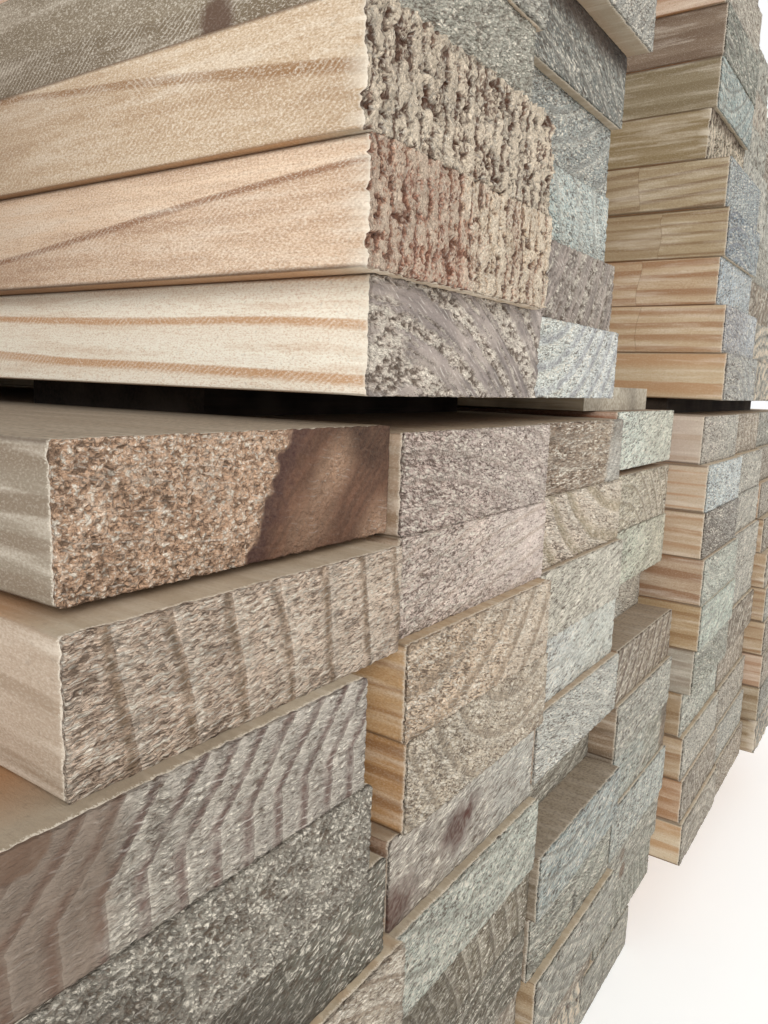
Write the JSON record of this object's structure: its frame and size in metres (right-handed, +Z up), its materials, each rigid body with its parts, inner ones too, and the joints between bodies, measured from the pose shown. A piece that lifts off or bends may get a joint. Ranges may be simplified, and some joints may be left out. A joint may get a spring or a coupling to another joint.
{
  "type": "stack of lumber",
  "caption": "Two-tier stack of rough sawn finger jointed pine boards with uneven weathered ends, upper packs on thin stickers, one lower block on ground bearers.",
  "frame": {"origin": "centre of the bounding box's bottom, on the floor", "axes": "+Z up; +Y along the boards, away from the ends seen in the picture; +X across the boards, to the right of those ends"},
  "size_m": [1.2998, 2.499, 0.983],
  "materials": {
    "boards_lower_left": "rough sawn, weathered grey and dusty",
    "boards_lower_right": "rough sawn, weathered grey ends",
    "boards_upper_left": "rough sawn, torn ends",
    "boards_upper_right": "rough sawn",
    "sticker_timber": "rough sawn, weathered grey",
    "bearer_timber": "rough sawn, weathered"
  },
  "bodies": {
    "root": {"bay_thin_board": "sticker_timber", "ground_bearer_back": "bearer_timber", "ground_bearer_front": "bearer_timber", "ground_bearer_middle": "bearer_timber", "lower_left_bowed_board": "boards_lower_left", "lower_left_curled_board": "boards_lower_left", "lower_left_layer_01": "boards_lower_left", "lower_left_layer_02": "boards_lower_left", "lower_left_layer_03": "boards_lower_left", "lower_left_layer_04": "boards_lower_left", "lower_left_layer_05": "boards_lower_left", "lower_left_layer_06": "boards_lower_left", "lower_left_layer_07": "boards_lower_left", "lower_left_layer_08": "boards_lower_left", "lower_left_layer_09": "boards_lower_left", "lower_left_layer_10": "boards_lower_left", "lower_left_layer_11": "boards_lower_left", "lower_left_layer_12": "boards_lower_left", "lower_right_layer_01": "boards_lower_right", "lower_right_layer_02": "boards_lower_right", "lower_right_layer_03": "boards_lower_right", "lower_right_layer_04": "boards_lower_right", "lower_right_layer_05": "boards_lower_right", "lower_right_layer_06": "boards_lower_right", "lower_right_layer_07": "boards_lower_right", "lower_right_layer_08": "boards_lower_right", "lower_right_layer_09": "boards_lower_right", "lower_right_layer_10": "boards_lower_right", "tier_sticker_back": "sticker_timber", "tier_sticker_front_left": "sticker_timber", "tier_sticker_front_right": "sticker_timber", "tier_sticker_middle": "sticker_timber", "upper_left_layer_01": "boards_upper_left", "upper_left_layer_02": "boards_upper_left", "upper_left_layer_03": "boards_upper_left", "upper_left_layer_04": "boards_upper_left", "upper_left_layer_05": "boards_upper_left", "upper_left_layer_06": "boards_upper_left", "upper_left_layer_07": "boards_upper_left", "upper_left_layer_08": "boards_upper_left", "upper_left_layer_09": "boards_upper_left", "upper_left_layer_10": "boards_upper_left", "upper_right_layer_01": "boards_upper_right", "upper_right_layer_02": "boards_upper_right", "upper_right_layer_03": "boards_upper_right", "upper_right_layer_04": "boards_upper_right", "upper_right_layer_05": "boards_upper_right", "upper_right_layer_06": "boards_upper_right", "upper_right_layer_07": "boards_upper_right", "upper_right_layer_08": "boards_upper_right", "upper_right_layer_09": "boards_upper_right", "upper_right_layer_10": "boards_upper_right"}
  },
  "joints": []
}
